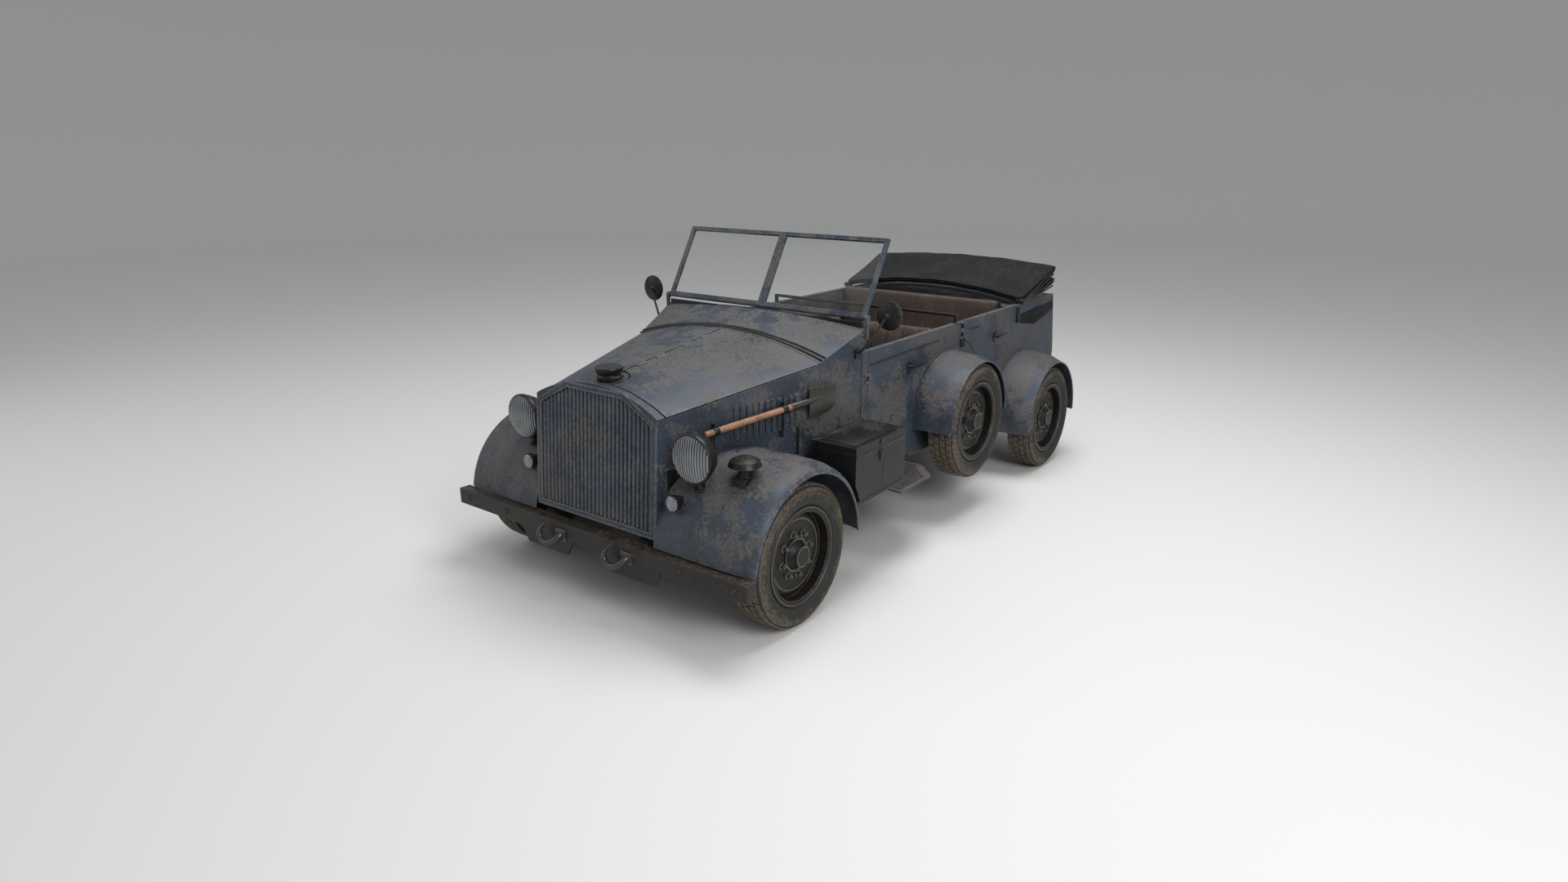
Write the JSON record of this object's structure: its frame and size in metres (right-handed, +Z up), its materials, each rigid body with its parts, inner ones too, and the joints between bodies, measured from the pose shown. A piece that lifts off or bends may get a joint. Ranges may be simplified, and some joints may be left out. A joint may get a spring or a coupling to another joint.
{
  "type": "open army cross-country car",
  "caption": "Open four-door army cross-country car with raised side spare wheels, folded canvas hood, side toolboxes and a fold-down windscreen.",
  "frame": {"origin": "on the ground under the middle of the car's length and width", "axes": "+X to the car's left, -Y towards its front, +Z up"},
  "size_m": [2.038, 4.182, 1.7364],
  "materials": {
    "paint": "worn slate-blue paint",
    "dark_paint": "worn near-black paint",
    "wheel_paint": "dirty dark paint",
    "tyre": "muddy rubber",
    "iron": "oily iron",
    "steel": "worn steel",
    "glass": "clear glass",
    "lens": "fluted glass",
    "red_lens": "red lamp",
    "leather": "worn brown leather",
    "canvas": "charcoal canvas",
    "wood": "worn ash handle"
  },
  "bodies": {
    "car": {"radiator_shell": "paint", "grille_slats": "paint", "bonnet_sides": "paint", "scuttle": "paint", "body_sides": "paint", "tail_panel": "paint", "front_mudguards": "paint", "spare_mudguards": "paint", "rear_mudguards": "paint", "step_plates": "paint", "front_bumper": "dark_paint", "toolboxes": "dark_paint", "chassis_frame": "dark_paint", "floor_pan": "dark_paint", "lamp_housings": "dark_paint", "mirrors": "dark_paint", "radiator_cap": "dark_paint", "dashboard": "dark_paint", "grab_rail": "dark_paint", "engine_block": "iron", "front_axle": "iron", "rear_axle": "iron", "leaf_springs": "iron", "prop_shafts": "iron", "spare_axles": "iron", "tow_hooks": "steel", "tow_coupling": "steel", "exhaust": "steel", "radiator_core": "steel", "lamp_lenses": "lens", "tail_lamps": "red_lens", "front_seats": "leather", "rear_seat": "leather", "folded_hood": "canvas", "spade": "wood"},
    "knuckle_left": {"knuckle_left": "iron"},
    "wheel_front_left": {"rim_front_left": "wheel_paint", "tyre_front_left": "tyre"},
    "wheel_spare_left": {"rim_spare_left": "wheel_paint", "tyre_spare_left": "tyre"},
    "wheel_rear_left": {"rim_rear_left": "wheel_paint", "tyre_rear_left": "tyre"},
    "bonnet_left": {"bonnet_left": "paint"},
    "door_front_left": {"door_front_left": "paint"},
    "door_rear_left": {"door_rear_left": "paint"},
    "toolbox_lid_left": {"toolbox_lid_left": "dark_paint"},
    "knuckle_right": {"knuckle_right": "iron"},
    "wheel_front_right": {"rim_front_right": "wheel_paint", "tyre_front_right": "tyre"},
    "wheel_spare_right": {"rim_spare_right": "wheel_paint", "tyre_spare_right": "tyre"},
    "wheel_rear_right": {"rim_rear_right": "wheel_paint", "tyre_rear_right": "tyre"},
    "bonnet_right": {"bonnet_right": "paint"},
    "door_front_right": {"door_front_right": "paint"},
    "door_rear_right": {"door_rear_right": "paint"},
    "toolbox_lid_right": {"toolbox_lid_right": "dark_paint"},
    "windscreen": {"windscreen_frame": "paint", "windscreen_glass": "glass"},
    "steering_wheel": {"steering_wheel": "dark_paint"}
  },
  "joints": [
    {"name": "steer_left", "type": "hinge", "parent": "car", "child": "knuckle_left", "pos_m": [0.735, -1.529, 0.356], "axis": [0, 0, 1], "range_deg": [-28, 28]},
    {"name": "steer_right", "type": "hinge", "parent": "car", "child": "knuckle_right", "pos_m": [-0.735, -1.529, 0.356], "axis": [0, 0, 1], "range_deg": [-28.5, 28.5]},
    {"name": "steering_wheel_turn", "type": "hinge", "parent": "car", "child": "steering_wheel", "pos_m": [0.35, -0.379, 1.12], "axis": [0, 0.8115, 0.5843], "range_deg": [-340, 340]},
    {"name": "spin_front_left", "type": "hinge", "parent": "knuckle_left", "child": "wheel_front_left", "pos_m": [0.875, -1.529, 0.356], "axis": [1, 0, 0], "continuous": true},
    {"name": "spin_spare_left", "type": "hinge", "parent": "car", "child": "wheel_spare_left", "pos_m": [0.866, 0.314, 0.594], "axis": [1, 0, 0], "continuous": true},
    {"name": "spin_rear_left", "type": "hinge", "parent": "car", "child": "wheel_rear_left", "pos_m": [0.875, 1.471, 0.356], "axis": [1, 0, 0], "continuous": true},
    {"name": "open_bonnet_left", "type": "hinge", "parent": "car", "child": "bonnet_left", "pos_m": [0, -1.429, 1.18569], "axis": [0, -0.9907, -0.1363], "range_deg": [0, 55]},
    {"name": "open_door_front_left", "type": "hinge", "parent": "car", "child": "door_front_left", "pos_m": [0.724, -0.604, 0.85], "axis": [0, 0, -1], "range_deg": [0, 65]},
    {"name": "open_door_rear_left", "type": "hinge", "parent": "car", "child": "door_rear_left", "pos_m": [0.724, 0.505, 1.1], "axis": [0, 0, -1], "range_deg": [0, 65]},
    {"name": "open_toolbox_left", "type": "hinge", "parent": "car", "child": "toolbox_lid_left", "pos_m": [0.726, -0.889, 0.785], "axis": [0, -1, 0], "range_deg": [0, 70]},
    {"name": "spin_front_right", "type": "hinge", "parent": "knuckle_right", "child": "wheel_front_right", "pos_m": [-0.875, -1.529, 0.356], "axis": [1, 0, 0], "continuous": true},
    {"name": "spin_spare_right", "type": "hinge", "parent": "car", "child": "wheel_spare_right", "pos_m": [-0.866, 0.314, 0.594], "axis": [1, 0, 0], "continuous": true},
    {"name": "spin_rear_right", "type": "hinge", "parent": "car", "child": "wheel_rear_right", "pos_m": [-0.875, 1.471, 0.356], "axis": [1, 0, 0], "continuous": true},
    {"name": "open_bonnet_right", "type": "hinge", "parent": "car", "child": "bonnet_right", "pos_m": [0, -1.429, 1.18569], "axis": [0, 0.9907, 0.1363], "range_deg": [0, 55]},
    {"name": "open_door_front_right", "type": "hinge", "parent": "car", "child": "door_front_right", "pos_m": [-0.724, -0.604, 0.85], "axis": [0, 0, 1], "range_deg": [0, 65]},
    {"name": "open_door_rear_right", "type": "hinge", "parent": "car", "child": "door_rear_right", "pos_m": [-0.724, 0.505, 1.1], "axis": [0, 0, 1], "range_deg": [0, 65]},
    {"name": "open_toolbox_right", "type": "hinge", "parent": "car", "child": "toolbox_lid_right", "pos_m": [-0.726, -0.889, 0.785], "axis": [0, 1, 0], "range_deg": [0, 70]},
    {"name": "fold_windscreen", "type": "hinge", "parent": "car", "child": "windscreen", "pos_m": [0, -0.632, 1.338], "axis": [-1, 0, 0], "range_deg": [-115, 0]}
  ],
  "couplings": [
    {"joint": "steer_right", "follows": "steer_left", "ratio": 1},
    {"joint": "steering_wheel_turn", "follows": "steer_left", "ratio": 12}
  ]
}
